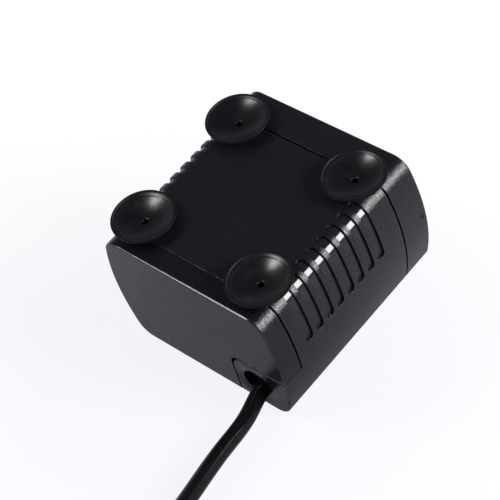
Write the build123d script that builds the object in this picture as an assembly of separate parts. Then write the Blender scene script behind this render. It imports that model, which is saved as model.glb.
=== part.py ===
from build123d import *
import os
from math import cos, radians, sin, sqrt

# Internal power filter: a small submersible pump that stands on four suction cups.
# Millimetres. +X right, +Y towards the cable end, +Z up. The origin is the centre of the
# plane that the cup rims stand on. The intake cover faces -Y and the outlet points up.

# ---------------------------------------------------------------- body envelope
body_length = 64.0
half_width = 31.0
body_height = 42.5
cup_lift = 3.75                     # cup rims to the underside of the body
widest_height = 21.2                # of the bulging sides, above the underside
side_radius = 65.2
bottom_corner = 5.4
top_corner = 5.2
end_edge_radius = 0.5
wall = 2.4
front_gap = 0.6                     # open parting line between cover and housing
rear_gap = 0.55                     # between rear cap and housing
closed_gap = 0.05                   # where the housing's tongue fills it, on the underside
tongue_half_width = 22.0
clearance = 0.1                     # between parts that slip into each other
overlap = 1.0                       # by which joined shapes run into each other
reach = 10.0                        # by which a cutter runs past what it cuts
pick = 0.01                         # tolerance for choosing edges by place

underside = cup_lift
top = cup_lift + body_height
widest = cup_lift + widest_height
front = -body_length / 2
rear = body_length / 2
front_seam = front + 10.8
rear_seam = rear - 7.1

# ---------------------------------------------------------------- side grooves
groove_count = 8
groove_pitch = 4.49
groove_width = 2.8
groove_depth = 0.7
first_groove = 19.3                 # centre of the rearmost groove, along Y
groove_inner_x = 23.4               # inboard end, on the underside
groove_top = underside + 19.0

# ---------------------------------------------------------------- suction cups
cup_radius = 9.25
cup_x = 20.8
cup_front_y = -18.65
cup_rear_y = 21.65
stem_radius = 1.9
stem_top = underside + 6.0
cup_hole_radius = 0.9
cup_boss_radius = 3.6
cup_boss_top = stem_top + 2.0
cup_neck_radius = 2.9
cup_back_z = 3.43                   # of the cup's back where it meets the neck
cup_bowl_z = 2.88                   # of the bowl at its centre
hole_top = underside + 2.5
lip_inner_radius = 8.2
lip_step_radius = 8.5
lip_step_z = 0.36
lip_rim_inner = 8.95
lip_rim_outer = 9.15

# ---------------------------------------------------------------- rotor line and pump chamber
rotor_x = -8.0
rotor_z = underside + 21.0
shaft_radius = 1.25
running_clearance = 0.05
bush_radius = 2.6
bush_wall = 1.2
chamber_radius = 13.5
chamber_wall = 2.2
chamber_front = -19.0
chamber_back = -6.0
bulkhead_back = -4.0
well_radius = 7.3
well_wall = 1.0
well_end = 19.5
bush_pocket_end = well_end + 1.7
rear_bush_start = well_end - 0.7
shaft_start = chamber_front - 0.8
shaft_end = bush_pocket_end - 0.9
magnet_radius = 6.6
magnet_start = -1.0
magnet_end = 18.0
sleeve_radius = 2.4
sleeve_end = magnet_end + 0.2
neck_radius = magnet_radius - 0.8   # of the impeller's skirt, between wheel and magnet
hub_radius = 3.4
hub_nose = 0.9
impeller_radius = 11.5
impeller_back = -8.0
blade_tip = -16.4
blade_count = 6
blade_thickness = 1.3
cover_plate_front = -21.1
spigot_end = chamber_front + 1.9
front_bush_start = cover_plate_front + 0.6
front_bush_end = chamber_front + 1.0
seal_width = 1.2
seal_start = chamber_front + 0.35
seal_end = chamber_front + 1.55
inlet_radius = 6.6
spider_arms = 3
spider_width = 1.6

# ---------------------------------------------------------------- outlet
outlet_y = -12.0
duct_radius = 5.5
socket_radius = 6.9
socket_depth = 7.5
outlet_boss_radius = 8.4
nozzle_height = 13.0                # above the top of the body
nozzle_radius = 6.4
nozzle_bore = 5.0
nozzle_flange_radius = 8.6
nozzle_flange = 1.6
nozzle_chamfer = 0.7
plug_bottom = top - socket_depth + 0.5
ring_section_width = 1.15           # of the sealing ring round the plug
ring_height = plug_bottom + 3.3

# ---------------------------------------------------------------- motor
stack_start = 1.0
stack_end = 15.0
arm_inner = 5.2                     # of each stator arm, from the rotor axis
arm_outer = 13.0
arm_end = -9.0                      # along X from the rotor axis
yoke_start = 24.0
yoke_end = 31.0
pole_radius = 8.6
bobbin_start = 9.3
bobbin_end = 23.8
bobbin_wall = 0.7
bobbin_flange = 1.0
winding = 3.5
winding_corner = 1.2
potting_end = 23.0

# ---------------------------------------------------------------- intake cover
cover_wall = 2.4
lip_depth = 3.0
lip_inset = wall + 0.1
lip_wall = 1.4
lip_root = 2.0                      # length over which the lip is joined inside the housing
dial_radius = 17.6
dial_recess = 1.0
dial_thickness = 1.7
dial_edge = 0.5
dial_hub_radius = 4.0
hub_rise = 0.6
grip_width = 2.4
grip_rise = 1.6
grip_edge = 0.7
dial_pivot_radius = 2.5
pivot_head_radius = 3.1
pivot_head = 0.9
window_inner = 5.4
window_outer = 14.4
window_count = 6
window_angle = 26.0
window_corner = 0.8
first_window = 30.0                 # direction of a window from +X, degrees
dial_travel = 30.0                  # half the spacing of the windows: open to closed
stop_radius = 16.1                  # of the dial's stop peg, from its axis
stop_peg_radius = 0.8
stop_start = 75.0
side_slot_x = (20.9, 24.9)
side_slot_width = 2.0
side_slot_height = 24.0
pry_notch = (0.4, 1.1, 1.9)         # shallow dimple in each side, to pull the cover off by
pry_notch_y = front + 2.1
pry_notch_z = underside + 20.2
sponge_inset = 4.4
sponge_front = -28.4
sponge_back = -21.8
sponge_hole_radius = 4.5

# ---------------------------------------------------------------- cable exit
notch_x = 10.4                      # of the cap's cut-out, on its inboard side
notch_z = underside + 25.2
notch_corner = 4.2
block_corner = 5.4                  # rounder than the cut-out, so the gap opens at the corner
block_edge = 0.6
block_side_gap = 0.12               # hairline on the block's inboard side
block_lower_gap = 0.45              # between the block and the cap below it
exit_x = 17.8
exit_z = underside + 34.6
exit_radius = 4.7
funnel_radius = 6.9
funnel_depth = 0.5
gland_front = 25.2
gland_rear = 29.0
cable_x = 19.9                      # the cable leans to the outer side of its hole
cable_z = exit_z + 0.3
cable_radius = 2.42
core_radius = 0.95
core_offset = 1.05
core_play = 0.02
conductor_radius = 0.45
sheath_start = 21.0
core_start = 16.5
cable_droop = [(22.75, 41.2, 37.7), (26.2, 54.0, 33.7), (32.45, 76.0, 26.8)]
cable_heading = (0.28, 1.0, -0.31)  # of the cut end
core_tail = 5.0                     # bared lengths beyond the sheath
conductor_tail = 8.5


def at_y(y):
    """Plane across the body at y, drawn in X and Z, with its normal along -Y."""
    return Plane.XZ.offset(-y)


def across(sketch, y_from, y_to):
    """Prism of a sketch drawn in X and Z, from one Y to another."""
    return extrude(at_y(y_to) * sketch, y_to - y_from)


def rod(x, z, radius, y_from, y_to):
    """Round bar along Y."""
    return across(Pos(x, z) * Circle(radius), y_from, y_to)


def post(x, y, radius, z_from, z_to):
    """Round bar along Z."""
    return extrude(Plane.XY.offset(z_from) * Pos(x, y) * Circle(radius), z_to - z_from)


def slab(y_from, y_to):
    """Everything between two places along Y."""
    return across(Rectangle(4 * body_length, 4 * body_length), y_from, y_to)


def body_section(inset=0.0):
    """Outline across the body: flat underside and top, bulging sides, round corners."""
    low = underside + inset
    high = top - inset
    radius = side_radius - inset
    centre = half_width - side_radius

    def side(z):
        return centre + sqrt(radius**2 - (z - widest) ** 2)

    right = ThreePointArc((side(low), low), (centre + radius, widest), (side(high), high))
    left = ThreePointArc((-side(high), high), (-centre - radius, widest), (-side(low), low))
    outline = right + Line(right @ 1, left @ 0) + left + Line(left @ 1, right @ 0)
    face = make_face(outline)
    corners = face.vertices().sort_by(Axis.Y)
    face = fillet(corners[:2], max(bottom_corner - inset, 1.0))
    corners = face.vertices().filter_by(lambda v: v.Y > high - pick).sort_by(Axis.X)
    return fillet([corners[0], corners[-1]], max(top_corner - inset, 1.0))


def envelope(edge_radius):
    """Whole outer form, with its front and rear edges rounded."""
    solid = across(body_section(), front, rear)
    ends = solid.edges().filter_by(
        lambda e: abs(abs(e.center().Y) - rear) < pick and abs(e.bounding_box().size.Y) < pick
    )
    return fillet(ends, edge_radius)


def ring_section(inset, thickness):
    return body_section(inset) - body_section(inset + thickness)


def side_grooves():
    """Shallow slots that wrap each lower corner, from the underside up the side."""
    skin = across(body_section(-overlap) - body_section(groove_depth), front_seam, rear_seam)
    cuts = []
    end_radius = groove_width / 2
    height = groove_top - underside + reach
    length = half_width + reach - groove_inner_x
    for index in range(groove_count):
        y = first_groove - index * groove_pitch
        on_side = Pos(y, groove_top - height / 2) * SlotOverall(height, groove_width, rotation=90)
        cuts.append(extrude(Plane.YZ.offset(groove_inner_x + end_radius) * on_side, length))
        on_underside = Pos(groove_inner_x + length / 2, y) * SlotOverall(length, groove_width)
        cuts.append(extrude(Plane.XY.offset(underside - overlap) * on_underside, groove_width + overlap))
    right = skin & (Part() + cuts)
    return right + mirror(right, Plane.YZ)


def notch_area(side_gap, lower_gap, corner_radius):
    """Corner of the rear end that the cable block fills, drawn in X and Z."""
    area = Rectangle(body_length, body_length, align=(Align.MIN, Align.MIN))
    corner = area.vertices().sort_by(lambda v: v.X + v.Y)[0]
    return Pos(notch_x + side_gap, notch_z + lower_gap) * fillet(corner, corner_radius)


def cable_block():
    """Part of the housing that shows through the rear cap's cut-out, with a flared hole."""
    outline = notch_area(block_side_gap, block_lower_gap, block_corner) & body_section()
    block = across(outline, rear_seam - overlap, rear)
    rim = block.edges().filter_by(lambda e: e.bounding_box().min.Y > rear - pick)
    block = fillet(rim, block_edge)
    flare = Cone(exit_radius, funnel_radius, funnel_depth, rotation=(-90, 0, 0))
    return block - Pos(exit_x, rear - funnel_depth / 2 + pick / 10, exit_z) * flare


def cup_places():
    return [(x, y) for y in (cup_front_y, cup_rear_y) for x in (-cup_x, cup_x)]


def outlet_boss():
    """Riser from the pump chamber to the nozzle socket, clear of the chamber cover."""
    boss = post(0, outlet_y, outlet_boss_radius, rotor_z, top - wall / 2)
    cover_space = chamber_radius + chamber_wall + clearance
    return boss - rod(rotor_x, rotor_z, cover_space, cover_plate_front - overlap, chamber_front)


def underside_tongue():
    """Lip of the housing that closes the parting line to the rear cap on the flat underside."""
    width = 2 * tongue_half_width
    strip = Pos(0, underside + wall / 2) * Rectangle(width, wall)
    return across(strip, rear_seam - overlap, rear_seam + rear_gap - closed_gap)


def make_housing():
    shell = envelope(end_edge_radius) & slab(front_seam, rear_seam)
    shell -= across(body_section(wall), front_seam - overlap, chamber_back)
    shell -= across(body_section(wall), bulkhead_back, rear_seam + overlap)
    shell += across(ring_section(lip_inset, lip_wall), front_seam - lip_depth, front_seam + overlap)
    shell += across(ring_section(wall - clearance, lip_wall + clearance), front_seam, front_seam + lip_root)
    shell += rod(rotor_x, rotor_z, chamber_radius + chamber_wall, chamber_front, bulkhead_back)
    shell += rod(rotor_x, rotor_z, well_radius + well_wall, bulkhead_back, well_end + well_wall)
    shell += rod(rotor_x, rotor_z, bush_radius + bush_wall, well_end, bush_pocket_end + bush_wall)
    shell += outlet_boss() + underside_tongue() + cable_block()
    for x, y in cup_places():
        pillar = post(x, y, cup_boss_radius, underside + overlap, cup_boss_top)
        shell += pillar & slab(front_seam, rear_seam)
    shell -= rod(rotor_x, rotor_z, chamber_radius, chamber_front - overlap, chamber_back)
    shell -= rod(rotor_x, rotor_z, well_radius, chamber_back - overlap, well_end)
    shell -= rod(rotor_x, rotor_z, bush_radius, well_end - overlap, bush_pocket_end)
    shell -= post(0, outlet_y, duct_radius, rotor_z, top)
    shell -= post(0, outlet_y, socket_radius, top - socket_depth, top + overlap)
    shell -= rod(exit_x, exit_z, exit_radius, rear_seam - wall - overlap, rear + overlap)
    for x, y in cup_places():
        shell -= post(x, y, stem_radius, underside - overlap, stem_top + clearance)
    return shell - side_grooves()


def make_rear_cap():
    cap = envelope(end_edge_radius) & slab(rear_seam + rear_gap, rear + overlap)
    cap -= across(notch_area(0, 0, notch_corner), rear_seam - overlap, rear + overlap)
    hollow = body_section(wall) - notch_area(-wall, -wall, notch_corner + wall)
    return cap - across(hollow, rear_seam - overlap, rear - wall)


def make_front_cover():
    before = front - overlap
    behind = front + cover_wall + overlap
    cover = envelope(end_edge_radius) & slab(before, front_seam - front_gap)
    cover -= across(body_section(wall), front + cover_wall, front_seam + overlap)
    cover -= rod(0, widest, dial_radius + clearance, before, front + dial_recess)
    cover -= rod(0, widest, dial_pivot_radius + running_clearance, before, behind)
    cover -= across(dial_windows() + stop_track(), before, behind)
    slot = SlotOverall(side_slot_height, side_slot_width, rotation=90)
    for sign in (-1, 1):
        for x in side_slot_x:
            cover -= across(Pos(sign * x, widest) * slot, before, behind)
        cover -= Pos(sign * half_width, pry_notch_y, pry_notch_z) * Box(*pry_notch)
    return cover


def dial_windows():
    """Ring of sector windows, drawn in X and Z about the dial's axis."""
    sector = fillet(arc_band(window_inner, window_outer, window_angle).vertices(), window_corner)
    step = 360 / window_count
    windows = [Rot(0, 0, first_window + step * index) * sector for index in range(window_count)]
    return Pos(0, widest) * (Sketch() + windows)


def arc_band(inner_radius, outer_radius, angle):
    """Piece of a ring, centred on +X."""
    outer = CenterArc((0, 0), outer_radius, -angle / 2, angle)
    inner = CenterArc((0, 0), inner_radius, angle / 2, -angle)
    return make_face(outer + Line(outer @ 1, inner @ 0) + inner + Line(inner @ 1, outer @ 0))


def stop_peg(radius, turn=0.0):
    angle = radians(stop_start + turn)
    return Pos(stop_radius * cos(angle), stop_radius * sin(angle)) * Circle(radius)


def stop_track():
    """Arc slot in the cover that the dial's stop peg runs in, drawn in X and Z."""
    radius = stop_peg_radius + clearance
    band = arc_band(stop_radius - radius, stop_radius + radius, dial_travel)
    track = Rot(0, 0, stop_start + dial_travel / 2) * band + stop_peg(radius)
    return Pos(0, widest) * (track + stop_peg(radius, dial_travel))


def make_flow_dial():
    """Shutter disc in the cover's recess: turning it moves its windows off the cover's."""
    back = front + dial_recess - running_clearance
    face = back - dial_thickness
    inside = front + cover_wall
    disc = rod(0, widest, dial_radius, face, back)
    rim = disc.edges().filter_by(lambda e: e.bounding_box().max.Y < face + pick)
    disc = fillet(rim, dial_edge)
    disc -= across(dial_windows(), face - overlap, back + overlap)
    hub = rod(0, widest, dial_hub_radius, face - hub_rise, back)
    grip = Pos(0, widest) * SlotOverall(2 * window_outer + grip_width / 2, grip_width)
    bar = across(grip, face - grip_rise, face + overlap)
    crest = bar.edges().filter_by(lambda e: e.bounding_box().max.Y < face - grip_rise + pick)
    bar = fillet(crest, grip_edge)
    pivot = rod(0, widest, dial_pivot_radius, back - overlap, inside + clearance)
    head = rod(0, widest, pivot_head_radius, inside + running_clearance, inside + pivot_head)
    peg = across(Pos(0, widest) * stop_peg(stop_peg_radius), face + overlap, inside - 3 * clearance)
    return disc + hub + bar + pivot + head + peg


def make_sponge():
    pad = across(body_section(sponge_inset), sponge_front, sponge_back)
    return pad - rod(0, widest, sponge_hole_radius, sponge_front - overlap, sponge_back + overlap)


def make_chamber_cover():
    plate = rod(rotor_x, rotor_z, chamber_radius + chamber_wall, cover_plate_front, chamber_front)
    plate += rod(rotor_x, rotor_z, chamber_radius - running_clearance, chamber_front, spigot_end)
    groove = Circle(chamber_radius) - Circle(chamber_radius - seal_width)
    plate -= across(
        Pos(rotor_x, rotor_z) * groove, seal_start - running_clearance, seal_end + running_clearance
    )
    plate -= rod(rotor_x, rotor_z, inlet_radius, cover_plate_front - overlap, spigot_end + overlap)
    arm = Pos(inlet_radius / 2, 0) * Rectangle(inlet_radius + spider_width, spider_width)
    step = 360 / spider_arms
    arms = [Rot(0, 0, 90 + step * index) * arm for index in range(spider_arms)]
    spider = Pos(rotor_x, rotor_z) * (Circle(bush_radius + bush_wall) + arms)
    plate += across(spider, cover_plate_front, front_bush_end)
    return plate - rod(rotor_x, rotor_z, bush_radius, front_bush_start, front_bush_end + overlap)


def make_chamber_seal():
    ring = Circle(chamber_radius) - Circle(chamber_radius - seal_width)
    return across(Pos(rotor_x, rotor_z) * ring, seal_start, seal_end)


def make_impeller():
    """Vane wheel and the sleeve that carries it and the magnet on the fixed shaft."""
    wheel = rod(rotor_x, rotor_z, impeller_radius, impeller_back - blade_thickness, impeller_back)
    blade = Pos(impeller_radius / 2, 0) * Rectangle(impeller_radius, blade_thickness)
    step = 360 / blade_count
    blades = [Rot(0, 0, step * index) * blade for index in range(blade_count)]
    vanes = Pos(rotor_x, rotor_z) * (Sketch() + blades)
    wheel += across(vanes & Pos(rotor_x, rotor_z) * Circle(impeller_radius), blade_tip, impeller_back)
    wheel += rod(rotor_x, rotor_z, hub_radius, blade_tip - hub_nose, impeller_back)
    wheel += rod(rotor_x, rotor_z, neck_radius, impeller_back, magnet_start)
    wheel += rod(rotor_x, rotor_z, sleeve_radius, magnet_start, sleeve_end)
    bore = shaft_radius + running_clearance
    return wheel - rod(rotor_x, rotor_z, bore, blade_tip - hub_nose - overlap, sleeve_end + overlap)


def make_magnet():
    ring = Circle(magnet_radius) - Circle(sleeve_radius)
    return across(Pos(rotor_x, rotor_z) * ring, magnet_start, magnet_end)


def make_shaft():
    return rod(rotor_x, rotor_z, shaft_radius, shaft_start, shaft_end)


def make_front_bush():
    bush = rod(rotor_x, rotor_z, bush_radius, front_bush_start, front_bush_end)
    return bush - rod(rotor_x, rotor_z, shaft_radius, shaft_start, front_bush_end + overlap)


def make_rear_bush():
    bush = rod(rotor_x, rotor_z, bush_radius, rear_bush_start, bush_pocket_end)
    return bush - rod(rotor_x, rotor_z, shaft_radius, rear_bush_start - overlap, shaft_end)


def make_stator_core():
    """Laminated U: two straight arms past the rotor well, joined by a yoke."""
    length = yoke_end - arm_end
    block = Pos(arm_end + length / 2, 0) * Rectangle(length, 2 * arm_outer)
    gap_length = yoke_start - arm_end + overlap
    gap = Pos(yoke_start - gap_length / 2, 0) * Rectangle(gap_length, 2 * arm_inner)
    return across(Pos(rotor_x, rotor_z) * (block - gap - Circle(pole_radius)), stack_start, stack_end)


def wound_on_arm(sign, low, high, grow_from, grow_to):
    """Rectangular ring around one stator arm, between two distances along it."""
    arm_height = arm_outer - arm_inner
    stack = stack_end - stack_start
    centre_z = rotor_z + sign * (arm_outer + arm_inner) / 2
    centre_y = (stack_start + stack_end) / 2

    def block(grow):
        solid = Box(high - low, stack + 2 * grow, arm_height + 2 * grow)
        if grow > bobbin_wall:
            solid = fillet(solid.edges().filter_by(Axis.X), winding_corner)
        return solid

    ring = block(grow_to) - block(grow_from)
    return Pos(rotor_x + (low + high) / 2, centre_y, centre_z) * ring


def make_bobbin(sign):
    outer = bobbin_wall + winding
    spool = wound_on_arm(sign, bobbin_start, bobbin_end, 0.0, bobbin_wall)
    spool += wound_on_arm(sign, bobbin_start, bobbin_start + bobbin_flange, 0.0, outer)
    return spool + wound_on_arm(sign, bobbin_end - bobbin_flange, bobbin_end, 0.0, outer)


def make_coil(sign):
    low = bobbin_start + bobbin_flange
    high = bobbin_end - bobbin_flange
    return wound_on_arm(sign, low, high, bobbin_wall, bobbin_wall + winding - 3 * clearance)


def along_cable(section, start, tail=0.0):
    """Sweep a section drawn about the cable's axis, straight through the gland, then drooping."""
    bend = Vector(cable_x, gland_rear, cable_z)
    finish = Vector(cable_droop[-1])
    heading = Vector(cable_heading).normalized()
    path = [
        Line((cable_x, start, cable_z), bend),
        Spline(bend, *cable_droop, tangents=[(0, 1, 0), heading]),
    ]
    if tail > 0:
        path.append(Line(finish, finish + heading * tail))
    return sweep(at_y(start) * Pos(cable_x, cable_z) * section, path=Wire(path))


def make_cable_sheath():
    section = Circle(cable_radius)
    for sign in (-1, 1):
        section -= Pos(sign * core_offset, 0) * Circle(core_radius + core_play)
    return along_cable(section, sheath_start)


def make_cable_core(sign):
    section = Circle(core_radius) - Circle(conductor_radius + core_play)
    return along_cable(Pos(sign * core_offset, 0) * section, core_start, core_tail)


def make_conductor(sign):
    section = Pos(sign * core_offset, 0) * Circle(conductor_radius)
    return along_cable(section, core_start, conductor_tail)


def make_cable_gland():
    ring = Pos(exit_x, exit_z) * Circle(exit_radius) - Pos(cable_x, cable_z) * Circle(cable_radius)
    return across(ring, gland_front, gland_rear)


def make_potting(neighbours):
    """Resin that fills the motor compartment around everything in it."""
    block = across(body_section(wall), bulkhead_back, potting_end)
    well_outside = well_radius + well_wall
    block -= rod(rotor_x, rotor_z, well_outside, bulkhead_back - overlap, well_end + well_wall)
    block -= rod(rotor_x, rotor_z, bush_radius + bush_wall, well_end, bush_pocket_end + bush_wall)
    block -= outlet_boss()
    for x, y in cup_places():
        block -= post(x, y, cup_boss_radius, underside, cup_boss_top)
    for node in neighbours:
        block -= node
    return block.solids().sort_by(SortBy.VOLUME)[-1]


def make_nozzle():
    tip = top + nozzle_height
    tube = post(0, outlet_y, socket_radius - running_clearance, plug_bottom, top)
    tube += post(0, outlet_y, nozzle_flange_radius, top + running_clearance, top + nozzle_flange)
    tube += post(0, outlet_y, nozzle_radius, top, tip)
    lead_in = tube.edges().sort_by(Axis.Z)[-1]
    tube = chamfer(lead_in, nozzle_chamfer)
    groove = Circle(socket_radius + overlap) - Circle(socket_radius - ring_section_width - clearance)
    height = ring_section_width + 4 * clearance
    cut = extrude(Plane.XY.offset(ring_height - height / 2) * Pos(0, outlet_y) * groove, height)
    return tube - cut - post(0, outlet_y, nozzle_bore, plug_bottom - overlap, tip + overlap)


def make_nozzle_seal():
    radius = ring_section_width / 2
    section = Pos(socket_radius - radius - running_clearance, 0) * Circle(radius)
    return Pos(0, outlet_y, ring_height) * revolve(Plane.XZ * section, Axis.Z)


def make_suction_cup(x, y):
    """Soft cup with a shallow bowl, a stepped lip and a stem, drawn as radius and height."""
    stem = Polyline(
        (cup_neck_radius, cup_back_z), (cup_neck_radius, underside), (stem_radius, underside),
        (stem_radius, stem_top - 0.6), (stem_radius - 0.6, stem_top), (0, stem_top), (0, hole_top),
        (cup_hole_radius, hole_top), (cup_hole_radius, cup_bowl_z),
    )
    bowl = ThreePointArc((cup_hole_radius, cup_bowl_z), (5.0, 2.08), (lip_inner_radius, 0.72))
    lip = Polyline(
        (lip_inner_radius, 0.72), (lip_step_radius, lip_step_z), (8.8, lip_step_z), (lip_rim_inner, 0),
        (lip_rim_outer, 0), (cup_radius, 0.15), (cup_radius, 0.45),
    )
    back = ThreePointArc((cup_radius, 0.45), (5.0, 2.79), (cup_neck_radius, cup_back_z))
    face = make_face(Plane.XZ * (stem + bowl + lip + back))
    return Pos(x, y, 0) * revolve(face, Axis.Z)


housing = make_housing()
core = make_stator_core()
bobbins = [make_bobbin(sign) for sign in (1, -1)]
coils = [make_coil(sign) for sign in (1, -1)]
sheath = make_cable_sheath()
cores = [make_cable_core(sign) for sign in (-1, 1)]
conductors = [make_conductor(sign) for sign in (-1, 1)]

nodes = {
    "main_housing": housing,
    "rear_cap": make_rear_cap(),
    "front_cover": make_front_cover(),
    "flow_dial": make_flow_dial(),
    "filter_sponge": make_sponge(),
    "chamber_cover": make_chamber_cover(),
    "chamber_seal": make_chamber_seal(),
    "impeller": make_impeller(),
    "rotor_magnet": make_magnet(),
    "rotor_shaft": make_shaft(),
    "front_bush": make_front_bush(),
    "rear_bush": make_rear_bush(),
    "stator_core": core,
    "upper_bobbin": bobbins[0],
    "lower_bobbin": bobbins[1],
    "upper_coil": coils[0],
    "lower_coil": coils[1],
    "potting_resin": make_potting([core, *bobbins, *coils, sheath, *cores, *conductors]),
    "cable_gland": make_cable_gland(),
    "cable_sheath": sheath,
    "cable_core_live": cores[0],
    "cable_core_neutral": cores[1],
    "conductor_live": conductors[0],
    "conductor_neutral": conductors[1],
    "outlet_nozzle": make_nozzle(),
    "outlet_seal": make_nozzle_seal(),
}
for (x, y), place in zip(cup_places(), ("front_left", "front_right", "rear_left", "rear_right")):
    nodes[f"suction_cup_{place}"] = make_suction_cup(x, y)

os.makedirs("parts", exist_ok=True)
for name, solid in nodes.items():
    export_step(solid, f"parts/{name}.step")
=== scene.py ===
"""Looks for the internal power filter: materials, soft parts, stage, lights and camera."""

import math

import bmesh
import bpy
from mathutils import Matrix, Vector, noise


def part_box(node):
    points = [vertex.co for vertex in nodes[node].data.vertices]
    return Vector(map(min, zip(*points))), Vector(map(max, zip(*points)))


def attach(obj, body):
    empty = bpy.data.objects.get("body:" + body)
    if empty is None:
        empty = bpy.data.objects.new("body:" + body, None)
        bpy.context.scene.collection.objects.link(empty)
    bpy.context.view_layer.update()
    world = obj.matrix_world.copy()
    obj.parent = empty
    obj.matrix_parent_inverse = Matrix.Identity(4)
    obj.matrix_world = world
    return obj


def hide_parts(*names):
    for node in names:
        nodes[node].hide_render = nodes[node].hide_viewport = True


MM = 0.001
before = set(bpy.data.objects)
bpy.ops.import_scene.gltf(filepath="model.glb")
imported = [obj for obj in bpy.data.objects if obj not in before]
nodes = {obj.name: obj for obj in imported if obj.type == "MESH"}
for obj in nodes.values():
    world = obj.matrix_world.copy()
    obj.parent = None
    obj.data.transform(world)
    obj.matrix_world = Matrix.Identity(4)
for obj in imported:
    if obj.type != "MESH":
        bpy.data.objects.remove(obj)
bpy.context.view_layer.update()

# ---------------------------------------------------------------- places taken from the frame
housing_low, housing_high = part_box("main_housing")
nozzle_low, nozzle_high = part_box("outlet_nozzle")
CUPS = [name for name in nodes if name.startswith("suction_cup_")]
UNDERSIDE = housing_low.z
TOP = housing_high.z
HALF_WIDTH = housing_high.x
HALF_LENGTH = housing_high.y
COVER_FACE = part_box("front_cover")[0].y

# The body's outline across Y: bulging sides and rounded lower corners.
SIDE_RADIUS = 65.2 * MM
WIDEST = UNDERSIDE + 21.2 * MM
CORNER_RADIUS = 5.4 * MM
CORNER_X = 23.5 * MM
GROOVE_DEPTH = 0.7 * MM
CABLE_HEADING = Vector((0.28, 1.0, -0.31))      # of the cable's cut end


# ---------------------------------------------------------------- node graphs
class Graph:
    """Short names for the shader nodes used here. Values are sockets or plain numbers."""

    def __init__(self, tree):
        self.tree = tree
        tree.nodes.clear()

    def node(self, kind, **settings):
        made = self.tree.nodes.new(kind)
        for key, value in settings.items():
            setattr(made, key, value)
        return made

    def plug(self, socket, value):
        if isinstance(value, bpy.types.NodeSocket):
            self.tree.links.new(value, socket)
        elif value is not None:
            socket.default_value = value

    def math(self, operation, a, b=0.0):
        made = self.node("ShaderNodeMath", operation=operation)
        self.plug(made.inputs[0], a)
        self.plug(made.inputs[1], b)
        return made.outputs[0]

    def vector(self, operation, a, b=(0, 0, 0), scale=None):
        """Vector arithmetic. LENGTH and DOT_PRODUCT give a number."""
        made = self.node("ShaderNodeVectorMath", operation=operation)
        self.plug(made.inputs[0], a)
        self.plug(made.inputs[1], b)
        if scale is not None:
            self.plug(made.inputs["Scale"], scale)
        return made.outputs["Value" if operation in ("LENGTH", "DOT_PRODUCT") else "Vector"]

    def place(self):
        """Where the shaded point is while the piece is at rest, in metres."""
        return self.node("ShaderNodeTexCoord").outputs["Object"]

    def split(self, vector):
        made = self.node("ShaderNodeSeparateXYZ")
        self.plug(made.inputs[0], vector)
        return made.outputs[0], made.outputs[1], made.outputs[2]

    def join(self, x, y, z):
        made = self.node("ShaderNodeCombineXYZ")
        for socket, value in zip(made.inputs, (x, y, z)):
            self.plug(socket, value)
        return made.outputs[0]

    def noise(self, vector, size, detail=2.0):
        """Noise whose features are about size metres across, from 0 to 1."""
        made = self.node("ShaderNodeTexNoise")
        self.plug(made.inputs["Vector"], vector)
        self.plug(made.inputs["Scale"], 1.0 / size)
        self.plug(made.inputs["Detail"], detail)
        return made.outputs["Fac"]

    def cells(self, vector, size):
        """Distance from the nearest of points strewn about size metres apart, in units of size."""
        made = self.node("ShaderNodeTexVoronoi", feature="F1")
        self.plug(made.inputs["Vector"], vector)
        self.plug(made.inputs["Scale"], 1.0 / size)
        return made.outputs["Distance"]

    def remap(self, value, low, high, to_low=0.0, to_high=1.0):
        """Value from low to high becomes to_low to to_high, and stays between them."""
        made = self.node("ShaderNodeMapRange", clamp=True)
        names = ("Value", "From Min", "From Max", "To Min", "To Max")
        for key, item in zip(names, (value, low, high, to_low, to_high)):
            self.plug(made.inputs[key], item)
        return made.outputs[0]

    def mix(self, factor, a, b):
        """A number between a and b."""
        return self.math("ADD", a, self.math("MULTIPLY", factor, self.math("SUBTRACT", b, a)))

    def tint(self, factor, a, b):
        """A colour between a and b."""
        made = self.node("ShaderNodeMix", data_type="RGBA")
        self.plug(made.inputs["Factor"], factor)
        self.plug(made.inputs["A"], (*a, 1) if isinstance(a, tuple) else a)
        self.plug(made.inputs["B"], (*b, 1) if isinstance(b, tuple) else b)
        return made.outputs["Result"]

    def bump(self, height, strength, distance, normal=None):
        made = self.node("ShaderNodeBump")
        self.plug(made.inputs["Height"], height)
        self.plug(made.inputs["Strength"], strength)
        self.plug(made.inputs["Distance"], distance)
        if normal is not None:
            self.plug(made.inputs["Normal"], normal)
        return made.outputs[0]

    def soft_edges(self, radius):
        """Normals that round sharp edges off."""
        made = self.node("ShaderNodeBevel", samples=4)
        self.plug(made.inputs["Radius"], radius)
        return made.outputs[0]

    def mix_shaders(self, factor, first, second):
        made = self.node("ShaderNodeMixShader")
        self.plug(made.inputs["Fac"], factor)
        self.plug(made.inputs[1], first)
        self.plug(made.inputs[2], second)
        return made.outputs[0]

    def surface(self, shader):
        made = self.node("ShaderNodeOutputMaterial")
        self.tree.links.new(shader, made.inputs["Surface"])

    def principled(self, **values):
        made = self.node("ShaderNodeBsdfPrincipled")
        names = {
            "color": "Base Color",
            "roughness": "Roughness",
            "normal": "Normal",
            "metallic": "Metallic",
            "ior": "IOR",
            "coat": "Coat Weight",
            "coat_roughness": "Coat Roughness",
            "specular": "Specular IOR Level",
            "sheen": "Sheen Weight",
            "subsurface": "Subsurface Weight",
        }
        for key, value in values.items():
            if key == "color" and isinstance(value, tuple):
                value = (*value, 1)
            self.plug(made.inputs[names[key]], value)
        self.surface(made.outputs[0])


def material(name):
    made = bpy.data.materials.new(name)
    made.use_nodes = True
    return made, Graph(made.node_tree)


def paint(piece, made):
    piece.data.materials.clear()
    piece.data.materials.append(made)


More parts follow.
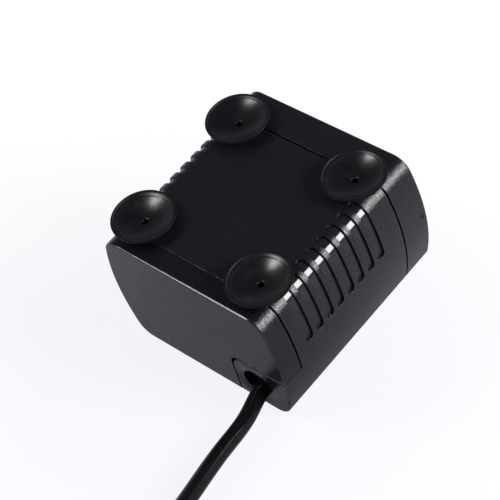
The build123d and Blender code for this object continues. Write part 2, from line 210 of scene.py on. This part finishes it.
# ---------------------------------------------------------------- materials
BLACK_ABS = (0.006, 0.006, 0.0084)
# painted shade: the colour of the body deep in its gaps and slots
PAINTED_CREVICE_SHADE = (0.001, 0.001, 0.0012)
GRAIN = 0.21 * MM               # of the spark-eroded mould
GRAIN_DEPTH = 0.08 * MM
CREVICE = 0.85 * MM             # width of a gap that looks dark
END_EDGE = 0.5 * MM             # rounding of the body's edges at its two ends
POLISH_LOW = 5.5 * MM           # the groove floors are polished up to here over the underside
POLISH_HIGH = 8.5 * MM          # and from here on only a quarter as much
SCUFFED_RIM = (0.1 * MM, 0.55 * MM)     # the cups' scuffing fades out between these heights
SHEET_STEEL = 0.5 * MM          # thickness of one lamination
WIRE = 0.35 * MM                # from turn to turn of a coil


def below_skin(g, place):
    """Distance of a point from the body's outer outline, negative inside."""
    x, _, z = g.split(place)
    across = g.math("ABSOLUTE", x)
    from_axis = g.math("SUBTRACT", across, HALF_WIDTH - SIDE_RADIUS)
    from_widest = g.math("SUBTRACT", z, WIDEST)
    side = g.math("SUBTRACT", g.vector("LENGTH", g.join(from_axis, from_widest, 0.0)), SIDE_RADIUS)
    flat = g.math("MAXIMUM", side, g.math("SUBTRACT", UNDERSIDE, z))
    flat = g.math("MAXIMUM", flat, g.math("SUBTRACT", z, TOP))
    out = g.math("SUBTRACT", across, CORNER_X)
    down = g.math("SUBTRACT", UNDERSIDE + CORNER_RADIUS, z)
    corner = g.math("SUBTRACT", g.vector("LENGTH", g.join(out, down, 0.0)), CORNER_RADIUS)
    in_corner = g.math("MULTIPLY", g.math("GREATER_THAN", out, 0.0), g.math("GREATER_THAN", down, 0.0))
    return g.mix(in_corner, flat, corner)


def in_the_open(g):
    """1 on open faces, falling to 0 deep in the parting lines and slots, where painted shade darkens the
    colour and the reflections.
    """
    occlusion = g.node("ShaderNodeAmbientOcclusion", samples=6)
    occlusion.inputs["Distance"].default_value = CREVICE
    return g.remap(occlusion.outputs["AO"], 0.42, 0.78)


def on_end_edges(g, place, depth):
    """1 on the rounded edges round the body's two end faces, which handling has polished."""
    along = g.math("ABSOLUTE", g.split(place)[1])
    near_end = g.remap(along, HALF_LENGTH - END_EDGE, HALF_LENGTH - 0.85 * END_EDGE)
    near_skin = g.remap(depth, -END_EDGE, -0.85 * END_EDGE)
    return g.math("MULTIPLY", near_end, near_skin)


def on_corner_floors(g, place, depth):
    """1 on the side grooves' floors where they round the lower corners, less further up."""
    floor = g.remap(depth, -0.5 * GROOVE_DEPTH, -0.85 * GROOVE_DEPTH)
    height = g.math("SUBTRACT", g.split(place)[2], UNDERSIDE)
    return g.math("MULTIPLY", floor, g.remap(height, POLISH_LOW, POLISH_HIGH, 1.0, 0.25))


def moulded_abs(name, grooves=False, shade=1.0, edge=0.2 * MM):
    """Black ABS from a spark-eroded mould, polished on its end edges and on groove floors."""
    made, g = material(name)
    place = g.place()
    depth = below_skin(g, place)
    grain = g.noise(place, GRAIN, detail=1.0)
    pits = g.remap(g.cells(place, 1.6 * GRAIN), 0.0, 0.55)
    broad = g.noise(place, 9 * MM, detail=2.0)
    edges = on_end_edges(g, place, depth)
    rough = g.mix(edges, g.mix(broad, 0.15, 0.2), 0.14)
    shine = g.mix(edges, g.remap(grain, 0.42, 0.6, 0.13, 0.64), 0.8)
    strength = g.mix(edges, 1.0, 0.1)
    if grooves:
        polished = on_corner_floors(g, place, depth)
        rough = g.mix(polished, rough, 0.1)
        shine = g.mix(polished, shine, 0.6)
        strength = g.mix(polished, strength, 0.05)
    relief = g.math("ADD", grain, g.math("MULTIPLY", pits, 0.35))
    height = g.math("MULTIPLY", relief, strength)
    normal = g.bump(height, 0.7, GRAIN_DEPTH, normal=g.soft_edges(edge))
    clear_of_crevice_shade = in_the_open(g)
    # shade below 1 makes a darker copy of the black, as painted shade
    dark = tuple(shade * c for c in BLACK_ABS)
    light = tuple(1.2 * c for c in dark)
    # painted shade: deep in gaps and slots the colour falls to near black and the reflections fade out
    color = g.tint(clear_of_crevice_shade, PAINTED_CREVICE_SHADE, g.tint(broad, dark, light))
    specular = g.math("MULTIPLY", shine, clear_of_crevice_shade)
    g.principled(color=color, roughness=rough, normal=normal, ior=1.5, specular=specular)
    return made


def smooth_abs(name, color=BLACK_ABS, roughness=0.3):
    """Black ABS from a plain polished mould: the parts a hand turns or pulls."""
    made, g = material(name)
    place = g.place()
    broad = g.noise(place, 7 * MM, detail=3.0)
    fine = g.noise(place, 0.25 * MM, detail=2.0)
    normal = g.bump(fine, 0.18, 0.03 * MM, normal=g.soft_edges(0.14 * MM))
    rough = g.mix(broad, roughness - 0.04, roughness + 0.06)
    lighter = tuple(1.3 * c for c in color)
    g.principled(color=g.tint(broad, color, lighter), roughness=rough, normal=normal, ior=1.5)
    return made


def rubber(name, color=(0.003, 0.003, 0.0042), roughness=0.25):
    """Soft black rubber with a faint bloom, scuffed dull where it touches the ground."""
    made, g = material(name)
    place = g.place()
    bloom = g.noise(place, 4 * MM, detail=3.0)
    fine = g.noise(place, 0.3 * MM, detail=2.0)
    normal = g.bump(fine, 0.12, 0.03 * MM)
    rough = g.mix(bloom, roughness - 0.05, roughness + 0.07)
    above_rim = g.remap(g.split(place)[2], *SCUFFED_RIM)
    rough = g.mix(above_rim, 0.5, rough)
    specular = g.mix(above_rim, 0.1, 0.42)
    dusty = tuple(c + 0.004 for c in color)
    color = g.tint(g.remap(bloom, 0.5, 0.8), color, dusty)
    g.principled(color=color, roughness=rough, normal=normal, ior=1.5, specular=specular)
    return made


def cable_pvc(name, color=(0.0025, 0.0025, 0.003), roughness=0.13):
    """Glossy plastic with slow waves in its skin."""
    made, g = material(name)
    place = g.place()
    waves = g.noise(place, 5 * MM, detail=2.0)
    fine = g.noise(place, 0.35 * MM, detail=2.0)
    height = g.math("ADD", g.math("MULTIPLY", waves, 1.4), g.math("MULTIPLY", fine, 0.04))
    normal = g.bump(height, 0.3, 0.25 * MM)
    lighter = tuple(1.4 * c + 0.001 for c in color)
    rough = g.mix(waves, roughness, roughness + 0.1)
    g.principled(color=g.tint(waves, color, lighter), roughness=rough, normal=normal, ior=1.42, specular=0.36)
    return made


def foam(name):
    """Charcoal open-cell foam: the depth of each pore is carried by the mesh, and painted shade darkens the
    colour inside the pores.
    """
    made, g = material(name)
    place = g.place()
    pore = g.node("ShaderNodeAttribute", attribute_name="pore").outputs["Fac"]
    strands = g.noise(place, 0.5 * MM, detail=3.0)
    ridge = g.tint(strands, (0.035, 0.037, 0.042), (0.065, 0.068, 0.075))
    # painted shade: deep in each pore the colour falls to near black
    color = g.tint(g.remap(pore, 0.25, 0.9), ridge, (0.006, 0.006, 0.007))
    normal = g.bump(strands, 0.5, 0.12 * MM)
    g.principled(color=color, roughness=0.8, normal=normal, sheen=0.25)
    return made


def plain_moulding(name, color, roughness=0.4):
    """Natural-colour engineering plastic with faint mould shading."""
    made, g = material(name)
    place = g.place()
    broad = g.noise(place, 5 * MM, detail=2.0)
    fine = g.noise(place, 0.3 * MM)
    normal = g.bump(fine, 0.15, 0.03 * MM)
    rough = g.mix(broad, roughness, roughness + 0.1)
    darker = tuple(0.85 * c for c in color)
    g.principled(color=g.tint(broad, color, darker), roughness=rough, normal=normal, subsurface=0.05)
    return made


def metal(name, color, roughness, grain_size, along=None):
    """Metal whose grain runs as noise, stretched where along gives a scale per axis."""
    made, g = material(name)
    place = g.place()
    if along:
        place = g.vector("MULTIPLY", place, along)
    grain = g.noise(place, grain_size, detail=4.0)
    normal = g.bump(grain, 0.2, 0.03 * MM)
    rough = g.mix(grain, roughness, roughness + 0.15)
    darker = tuple(0.7 * c for c in color)
    g.principled(color=g.tint(grain, color, darker), metallic=1.0, roughness=rough, normal=normal)
    return made


def laminations(name):
    """Stamped steel sheets stacked along Y, with dark joints between them."""
    made, g = material(name)
    place = g.place()
    _, y, _ = g.split(place)
    sheet = g.math("FRACT", g.math("DIVIDE", y, SHEET_STEEL))
    gap = g.math("LESS_THAN", sheet, 0.14)
    mottle = g.noise(place, 1.5 * MM, detail=4.0)
    steel = g.tint(mottle, (0.30, 0.30, 0.32), (0.16, 0.15, 0.15))
    color = g.tint(gap, steel, (0.02, 0.02, 0.022))
    normal = g.bump(gap, -0.6, 0.08 * MM)
    rough = g.mix(mottle, 0.35, 0.6)
    g.principled(color=color, metallic=g.mix(gap, 0.9, 0.0), roughness=rough, normal=normal)
    return made


def copper_windings(name):
    """Enamelled wire laid turn by turn along X."""
    made, g = material(name)
    place = g.place()
    x, _, _ = g.split(place)
    turn = g.math("ABSOLUTE", g.math("SINE", g.math("MULTIPLY", x, math.pi / WIRE)))
    patina = g.noise(place, 3 * MM, detail=3.0)
    color = g.tint(patina, (0.62, 0.24, 0.09), (0.40, 0.14, 0.05))
    normal = g.bump(turn, 0.8, 0.15 * MM)
    g.principled(color=color, metallic=0.9, roughness=0.3, normal=normal, coat=0.6, coat_roughness=0.15)
    return made


SHELL = moulded_abs("shell_abs_grooved", grooves=True, edge=0.34 * MM)
SHELL_PLAIN = moulded_abs("shell_abs")
CONTROL = smooth_abs("control_abs")
CHAMBER = smooth_abs("chamber_abs", roughness=0.36)
CUP = rubber("cup_rubber")
SEAL = rubber("seal_rubber", color=(0.007, 0.007, 0.007), roughness=0.42)
PVC = cable_pvc("cable_pvc")
COPPER = metal("bare_copper", (0.85, 0.42, 0.26), 0.25, 0.3 * MM, along=(3, 1, 3))
finishes = {
    "main_housing": SHELL,
    # painted shade: the rear cap is a darker copy of the shell for the shade its strip lies in
    "rear_cap": moulded_abs("cap_abs_painted_shade", shade=0.65),
    "front_cover": SHELL_PLAIN,
    "flow_dial": CONTROL,
    "chamber_cover": CHAMBER,
    "chamber_seal": SEAL,
    "outlet_seal": SEAL,
    "front_bush": SEAL,
    "rear_bush": SEAL,
    "cable_gland": SEAL,
    "impeller": plain_moulding("impeller_pom", (0.72, 0.72, 0.69)),
    "rotor_magnet": metal("ferrite", (0.06, 0.06, 0.065), 0.45, 0.8 * MM),
    "rotor_shaft": metal("ground_steel", (0.62, 0.62, 0.63), 0.16, 0.5 * MM, along=(6, 1, 6)),
    "stator_core": laminations("stator_steel"),
    "upper_bobbin": plain_moulding("bobbin_nylon", (0.66, 0.63, 0.55)),
    "upper_coil": copper_windings("coil_wire"),
    "potting_resin": cable_pvc("potting_resin", color=(0.012, 0.012, 0.013), roughness=0.28),
    "cable_sheath": PVC,
    "cable_core_live": cable_pvc("core_brown", color=(0.12, 0.035, 0.015), roughness=0.3),
    "cable_core_neutral": cable_pvc("core_blue", color=(0.012, 0.07, 0.32), roughness=0.3),
}
finishes["lower_bobbin"] = finishes["upper_bobbin"]
finishes["lower_coil"] = finishes["upper_coil"]
for node, made in finishes.items():
    paint(nodes[node], made)


# ---------------------------------------------------------------- soft and turned pieces
def mesh_object(name, builder):
    """New object from a bmesh, smooth shaded."""
    mesh = bpy.data.meshes.new(name)
    builder.to_mesh(mesh)
    builder.free()
    for face in mesh.polygons:
        face.use_smooth = True
    piece = bpy.data.objects.new(name, mesh)
    bpy.context.scene.collection.objects.link(piece)
    return piece


def hand_in(piece, body, made, node=None):
    if node:
        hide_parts(node)
    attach(piece, body)
    paint(piece, made)


def flowing(points):
    """Points of a smooth curve through an outline's points (Catmull-Rom)."""
    steps = 4
    ends = [points[0], *points, points[-1]]
    curve = []
    for a, b, c, d in zip(ends, ends[1:], ends[2:], ends[3:]):
        for step in range(steps):
            t = step / steps
            curve.append(tuple(
                0.5 * (2 * q + (r - p) * t + (2 * p - 5 * q + 4 * r - s) * t * t
                       + (3 * q - p - 3 * r + s) * t ** 3)
                for p, q, r, s in zip(a, b, c, d)
            ))
    return [*curve, points[-1]]


def lathe(name, outline, centre, segments=128):
    """Turned piece about the upright line through centre. The outline is (radius, height) in mm."""
    builder = bmesh.new()
    rings = []
    for radius, height in outline:
        count = segments if radius > 0 else 1
        ring = []
        for index in range(count):
            angle = 2 * math.pi * index / segments
            across = Vector((radius * math.cos(angle), radius * math.sin(angle), height)) * MM
            ring.append(builder.verts.new(Vector((centre.x, centre.y, 0)) + across))
        rings.append(ring)
    for first, second in zip(rings, rings[1:]):
        for index in range(segments):
            after = index + 1
            corners = [first[index % len(first)], first[after % len(first)]]
            corners += [second[after % len(second)], second[index % len(second)]]
            builder.faces.new(list(dict.fromkeys(corners)))     # a ring on the axis is one point
    bmesh.ops.recalc_face_normals(builder, faces=builder.faces)
    return mesh_object(name, builder)


def cup_outline(stem_top, neck_top):
    """Half section of a suction cup: bored centre, bowl, faint bead, rim, back, neck and stem.

    The bowl is a paraboloid. The heights are in mm over the plane of the rims.
    """
    bowl_height = 2.62
    bowl_curve = 0.032
    hole = 0.95
    hole_top = neck_top + 2.4
    neck = 2.9
    groove = 1.9
    bowl = [(radius, bowl_height - bowl_curve * radius ** 2) for radius in (2.0, 3.1, 4.2, 5.3, 6.4, 7.35)]
    pip = [(hole, 2.8), (1.0, 2.64), (1.15, 2.54), (1.35, 2.51), (1.6, 2.52), bowl[0]]
    bead = [bowl[-1], (7.6, 0.74), (7.78, 0.63), (7.95, 0.56), (8.12, 0.5), (8.35, 0.39), (8.58, 0.26)]
    rim = [bead[-1], (8.68, 0.12), (8.8, 0.03), (8.94, 0.0), (9.1, 0.03), (9.2, 0.12), (9.25, 0.26)]
    back = [rim[-1], (9.2, 0.46), (8.9, 0.72), (7.6, 1.55), (6.0, 2.35), (4.4, 2.97), (3.2, 3.3)]
    back.append((neck, 3.45))
    outline = [(0, hole_top), (hole, hole_top)]
    for curved in (pip, bowl, bead, rim, back):
        outline += flowing(curved)[:-1]
    outline += [back[-1], (neck, neck_top - 0.15), (neck - 0.1, neck_top), (groove, neck_top)]
    outline += [(groove, stem_top - 0.7), (1.65, stem_top - 0.15), (1.2, stem_top), (0, stem_top)]
    return outline


def make_cups():
    for node in CUPS:
        low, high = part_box(node)
        outline = cup_outline(high.z / MM, UNDERSIDE / MM)
        cup = lathe(node.replace("suction_", "soft_"), outline, (low + high) / 2)
        hand_in(cup, "pump", CUP, node)


def spigot_outline(foot, face, tip):
    """Half section of the hose outlet: plug with a seal groove, flange and tube with three barbs.

    The heights are of the plug's foot, the body's top face and the tube's tip.
    """
    bore = 5.0
    plug = 6.85
    seal_groove = 5.65
    flange = 8.6
    tube = 6.4
    neck = tube - 0.3
    barbs = 3
    first_barb = 4.0
    barb_pitch = 2.6
    outline = [(bore, foot + 0.2), (bore + 0.2, foot), (plug - 0.3, foot), (plug, foot + 0.3)]
    outline += [(plug, foot + 2.4), (seal_groove, foot + 2.42)]
    outline += [(seal_groove, foot + 4.16), (plug, foot + 4.18), (plug, face + 0.03)]
    flange_edge = [(flange - 0.25, face + 0.05), (flange, face + 0.3), (flange, face + 1.2)]
    flange_edge += [(flange - 0.35, face + 1.58), (flange - 0.9, face + 1.6)]
    outline += flowing(flange_edge)
    outline += flowing([(tube + 0.5, face + 1.62), (tube - 0.1, face + 1.75), (neck, face + 2.2)])
    for barb in range(barbs):
        start = face + first_barb + barb_pitch * barb
        outline += [(neck, start), (tube - 0.05, start + 0.06), (tube, start + 0.2), (neck, start + 1.9)]
    lip = [(neck, tip - 1.0), (tube - 0.45, tip - 0.5), (tube - 0.8, tip - 0.08), (5.35, tip)]
    lip += [(bore + 0.08, tip - 0.12), (bore, tip - 0.4)]
    return [*outline, *flowing(lip), outline[0]]


def make_spigot():
    outline = spigot_outline(nozzle_low.z / MM, TOP / MM, nozzle_high.z / MM)
    spigot = lathe("hose_spigot", outline, (nozzle_low + nozzle_high) / 2, segments=160)
    hand_in(spigot, "outlet", CONTROL, "outlet_nozzle")


def make_foam():
    """Open-cell sponge: the pad's own form with pores pressed into its skin."""
    pore_size = 1.5 * MM
    pore_depth = 0.75 * MM
    wall_slope = 2.2
    inset = 0.2 * MM
    swell = 0.15 * MM
    swell_size = 9 * MM
    voxel = 0.4 * MM
    pad = bpy.data.objects.new("foam_pad", nodes["filter_sponge"].data.copy())
    bpy.context.scene.collection.objects.link(pad)
    remesh = pad.modifiers.new("cells", "REMESH")
    remesh.mode = "VOXEL"
    remesh.voxel_size = voxel
    graph = bpy.context.evaluated_depsgraph_get()
    skin = bpy.data.meshes.new_from_object(pad.evaluated_get(graph))
    pad.modifiers.clear()
    pad.data = skin
    normals = [vertex.normal.copy() for vertex in skin.vertices]
    # the pore depth is kept for the foam's painted shade
    depth = skin.attributes.new("pore", "FLOAT", "POINT")
    for vertex, normal in zip(skin.vertices, normals):
        distances, _ = noise.voronoi(vertex.co / pore_size, distance_metric="DISTANCE")
        wall = min(1.0, wall_slope * (distances[1] - distances[0]))
        pore = wall * wall * (3 - 2 * wall)
        swollen = swell * noise.noise(vertex.co / swell_size)
        vertex.co += normal * (swollen - inset - pore_depth * pore)
        depth.data[vertex.index].value = pore
    for face in skin.polygons:
        face.use_smooth = True
    hand_in(pad, "intake_cover", foam("filter_foam"), "filter_sponge")


def tip_of(node, heading):
    """Centre of the end of a cable node that lies furthest along heading."""
    points = [vertex.co for vertex in nodes[node].data.vertices]
    furthest = max(point.dot(heading) for point in points)
    end = [point for point in points if point.dot(heading) > furthest - 0.02 * MM]
    return sum(end, Vector()) / len(end)


def make_strands(node):
    """Seven copper strands, six twisted round one, bared beyond the end of a core."""
    strand = 0.145 * MM             # radius
    length = 5.5 * MM
    lay = 6.0 * MM                  # for one full turn
    ragged = 0.12 * MM
    sides = 10
    steps = 24
    heading = CABLE_HEADING.normalized()
    tip = tip_of(node, heading)
    side = heading.orthogonal().normalized()
    other = heading.cross(side)
    circle = [2 * math.pi * corner / sides for corner in range(sides)]
    section = [strand * (math.cos(angle) * side + math.sin(angle) * other) for angle in circle]
    builder = bmesh.new()
    for index in range(7):
        offset = 0.0 if index == 0 else 2 * strand
        start = 2 * math.pi * index / 6
        shorter = max(0.0, -ragged * math.sin(5 * index))
        previous = None
        for step in range(steps + 1):
            along = length * step / steps
            turn = start + 2 * math.pi * along / lay
            out = math.cos(turn) * side + math.sin(turn) * other
            middle = tip - heading * (length - along + shorter) + out * offset
            ring = [builder.verts.new(middle + point) for point in section]
            if previous:
                for corner in range(sides):
                    after = (corner + 1) % sides
                    builder.faces.new((previous[corner], previous[after], ring[after], ring[corner]))
            else:
                builder.faces.new(ring)
            previous = ring
        builder.faces.new(previous)
    bmesh.ops.recalc_face_normals(builder, faces=builder.faces)
    strands = mesh_object(node.replace("conductor", "strands"), builder)
    hand_in(strands, "pump", COPPER, node)


def add_mark(builder, foot, out, side, length, half):
    """A flat-topped mark with sloping sides, from foot along out, that rises towards -Y."""
    rise = 0.22 * MM
    sunk = 0.05 * MM                # so that no gap shows under it
    slope = 0.45
    foot = foot + Vector((0, sunk, 0))
    base = [foot + a * length * out + b * half * side for a, b in ((0, -1), (1, -1), (1, 1), (0, 1))]
    middle = sum(base, Vector()) / 4
    narrowed = 1 - slope * half / (length / 2)
    crest = [middle + (point - middle) * narrowed - Vector((0, rise + sunk, 0)) for point in base]
    lower = [builder.verts.new(point) for point in base]
    upper = [builder.verts.new(point) for point in crest]
    builder.faces.new(upper)
    builder.faces.new(list(reversed(lower)))
    for a in range(4):
        b = (a + 1) % 4
        builder.faces.new((lower[a], lower[b], upper[b], upper[a]))


def make_dial_scale():
    """Raised marks over the dial that grow towards full flow."""
    marks = 7
    first_angle = 114
    angle_step = 8
    radius = 18.35 * MM
    half = 0.19 * MM
    low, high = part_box("flow_dial")
    centre = (low + high) / 2
    builder = bmesh.new()
    for index in range(marks):
        angle = math.radians(first_angle - angle_step * index)
        out = Vector((math.cos(angle), 0, math.sin(angle)))
        side = Vector((-out.z, 0, out.x))
        foot = Vector((centre.x, COVER_FACE, centre.z)) + out * radius
        length = (0.55 + 0.17 * index) * MM
        add_mark(builder, foot, out, side, length, half)
    bmesh.ops.recalc_face_normals(builder, faces=builder.faces)
    bmesh.ops.bevel(builder, geom=builder.edges, offset=0.04 * MM, segments=2, affect="EDGES")
    scale = mesh_object("dial_scale", builder)
    hand_in(scale, "intake_cover", SHELL_PLAIN)


make_cups()
make_spigot()
make_foam()
make_strands("conductor_live")
make_strands("conductor_neutral")
make_dial_scale()


# ---------------------------------------------------------------- camera
CAMERA_AZIMUTH = math.radians(125.13)
CAMERA_ELEVATION = math.radians(-49.64)
CAMERA_DISTANCE = 483.0 * MM
CAMERA_LENS = 128.77                    # focal length in mm, over a sensor 36 mm wide
CAMERA_AIM = Vector((4.5, 9.8, 11.9)) * MM
TABLE_TILT = math.radians(18.82)        # the pump lies on its nozzle and its rear top edge
TABLE_UP = Vector((0, -math.sin(TABLE_TILT), -math.cos(TABLE_TILT)))


def looking(place, target, up):
    """Matrix of a camera or light at place, looking at target, with up upright in its view."""
    back = (place - target).normalized()
    right = up.cross(back).normalized()
    turn = Matrix((right, back.cross(right), back)).transposed()
    return Matrix.Translation(place) @ turn.to_4x4()


camera = bpy.data.objects.new("camera", bpy.data.cameras.new("camera"))
bpy.context.scene.collection.objects.link(camera)
bpy.context.scene.camera = camera
camera.data.lens = CAMERA_LENS
camera.data.sensor_width = 36
camera.data.clip_start = 0.01
towards_camera = Vector((
    math.sin(CAMERA_AZIMUTH) * math.cos(CAMERA_ELEVATION),
    -math.cos(CAMERA_AZIMUTH) * math.cos(CAMERA_ELEVATION),
    math.sin(CAMERA_ELEVATION),
))
camera.matrix_world = looking(CAMERA_AIM + towards_camera * CAMERA_DISTANCE, CAMERA_AIM, TABLE_UP)


# ---------------------------------------------------------------- stage
SHEET_HALF = 4.0                # half the width of a sheet, in metres
SHEET_WHITE = 1.06              # of the sheets as the camera sees them
PAPER = (0.9, 0.9, 0.92)
PAPER_GLOW = 0.92               # share of a sheet that glows, the rest being lit by the lamps
SHADOW = (0.885, 0.88, 0.915)   # on a sheet close to the pump, fading out over SHADOW_EDGE
SHADOW_EDGE = (50 * MM, 200 * MM)
ROOM_WHITE = (0.985, 0.985, 1.0)
TABLE_GLOW = 0.46               # of the sheet and the room as the pump's surfaces see them
OVERHEAD_GLOW = 0.095
GLOW_TINT = (0.99, 0.97, 1.1)   # cool, like the studio's lamps
ACROSS_TABLE = (0.75, -0.63, 0.0)
# Painted light and shade of the table along that line: start and end in mm, factors there. It is
# brightest to the left of the pump and dark close to the pump's right side.
TABLE_SHADES = ((-75, 10, 1.55, 1.0), (10, 25, 1.0, 0.66), (38, 80, 1.0, 1.5))


def camera_is_below(g):
    """1 where the camera is under the pump, which then lies upside down on the table."""
    made = g.node("ShaderNodeVectorTransform", vector_type="POINT")
    made.convert_from = "CAMERA"
    made.convert_to = "WORLD"
    made.inputs[0].default_value = (0, 0, 0)
    return g.math("LESS_THAN", g.split(made.outputs[0])[2], 0.0)


def camera_sees(g):
    """1 for what the camera sees directly, 0 for reflections and light on the pump."""
    return g.node("ShaderNodeLightPath").outputs["Is Camera Ray"]


def glow_on_pump(g, from_pump):
    """Strength of a sheet's light on the pump, by the place on the sheet, with painted shadow close to the
    pump.
    """
    away = g.vector("LENGTH", from_pump)
    rightward = g.vector("DOT_PRODUCT", from_pump, ACROSS_TABLE)
    # painted shadow: the sheet glows less close to the pump
    glow = g.remap(away, 30 * MM, 140 * MM, 0.66 * TABLE_GLOW, 1.15 * TABLE_GLOW)
    for start, end, from_factor, to_factor in TABLE_SHADES:
        shade = g.remap(rightward, start * MM, end * MM, from_factor, to_factor)
        glow = g.math("MULTIPLY", glow, shade)
    return glow


def sheet_paper(name, point, seen_from_below):
    """White paper that mostly glows, clear while the camera is on the wrong side of the pump."""
    made, g = material(name)
    from_pump = g.vector("SUBTRACT", g.place(), tuple(point))
    shadow = g.tint(g.remap(g.vector("LENGTH", from_pump), *SHADOW_EDGE), SHADOW, (1.0, 1.0, 1.0))
    matt = g.node("ShaderNodeBsdfDiffuse")
    matt.inputs["Color"].default_value = (*PAPER, 1)
    glow = g.node("ShaderNodeEmission")
    g.plug(glow.inputs["Color"], g.tint(camera_sees(g), GLOW_TINT, shadow))
    g.plug(glow.inputs["Strength"], g.mix(camera_sees(g), glow_on_pump(g, from_pump), SHEET_WHITE))
    paper = g.mix_shaders(PAPER_GLOW, matt.outputs[0], glow.outputs[0])
    shown = camera_is_below(g)
    if not seen_from_below:
        shown = g.math("SUBTRACT", 1.0, shown)
    clear = g.node("ShaderNodeBsdfTransparent")
    g.surface(g.mix_shaders(shown, clear.outputs[0], paper))
    return made


def backdrop(name, point, up, seen_from_below):
    """A wide pale sheet that is there only when the camera is on its side of the pump."""
    mesh = bpy.data.meshes.new(name)
    side = up.orthogonal().normalized()
    other = up.cross(side)
    signs = ((-1, -1), (1, -1), (1, 1), (-1, 1))
    corners = [point + SHEET_HALF * (a * side + b * other) for a, b in signs]
    mesh.from_pydata(corners, [], [(0, 1, 2, 3)])
    sheet = bpy.data.objects.new(name, mesh)
    bpy.context.scene.collection.objects.link(sheet)
    paint(sheet, sheet_paper(name, point, seen_from_below))


NOZZLE_RIM = 5.7 * MM                   # radius of the nozzle's tip where it touches the table
rear_edge = Vector((0, HALF_LENGTH, TOP))
nozzle_rim = Vector((0, (nozzle_low.y + nozzle_high.y) / 2 + NOZZLE_RIM, nozzle_high.z))
lowest = min((rear_edge, nozzle_rim), key=lambda point: point.dot(TABLE_UP))
backdrop("table_sheet", lowest - TABLE_UP * 0.3 * MM, TABLE_UP, seen_from_below=True)
backdrop("floor_sheet", Vector((0, 0, -0.1 * MM)), Vector((0, 0, 1)), seen_from_below=False)


# ---------------------------------------------------------------- light
LAMP_DISTANCE = 0.6                     # from the pump, in metres
ALONG_GROOVES = (0.61, -0.79, 0.0)      # the grooves on the underside, as the camera sees them


def softbox(name, towards, size, power, upright=(0, 1, 0)):
    """Area light aimed at the pump. Directions are as the camera sees them: right, up, towards it."""
    lamp = bpy.data.lights.new(name, "AREA")
    lamp.shape = "RECTANGLE"
    lamp.size, lamp.size_y = size
    lamp.energy = power
    thing = bpy.data.objects.new(name, lamp)
    bpy.context.scene.collection.objects.link(thing)
    pump = Vector((0, 0, -CAMERA_DISTANCE))
    place = pump + Vector(towards).normalized() * LAMP_DISTANCE
    thing.parent = camera
    thing.matrix_parent_inverse = Matrix.Identity(4)
    thing.matrix_basis = looking(place, pump, Vector(upright))


softbox("right_softbox", (0.775, 0.17, 0.61), (0.3, 0.34), 5.6, upright=ALONG_GROOVES)
softbox("left_softbox", (-0.69, 0.46, 0.55), (0.12, 0.17), 1.35)
softbox("left_strip", (-0.86, 0.2, 0.43), (0.05, 0.4), 1.1)
softbox("top_softbox", (0.75, 0.58, -0.06), (0.1, 0.1), 0.8)


def studio_world():
    """Pale surroundings at the horizon that darken overhead."""
    world = bpy.data.worlds.new("studio")
    bpy.context.scene.world = world
    world.use_nodes = True
    g = Graph(world.node_tree)
    towards = g.vector("SCALE", g.node("ShaderNodeNewGeometry").outputs["Incoming"], scale=-1.0)
    along_floor = g.split(towards)[2]
    along_table = g.vector("DOT_PRODUCT", towards, tuple(TABLE_UP))
    height = g.mix(camera_is_below(g), along_floor, along_table)
    glow = g.remap(height, 0.1, 0.7, TABLE_GLOW, OVERHEAD_GLOW)
    background = g.node("ShaderNodeBackground")
    g.plug(background.inputs["Strength"], g.mix(camera_sees(g), glow, 1.0))
    g.plug(background.inputs["Color"], g.tint(camera_sees(g), GLOW_TINT, ROOM_WHITE))
    output = g.node("ShaderNodeOutputWorld")
    g.tree.links.new(background.outputs[0], output.inputs["Surface"])


studio_world()
bpy.context.scene.view_settings.view_transform = "Standard"
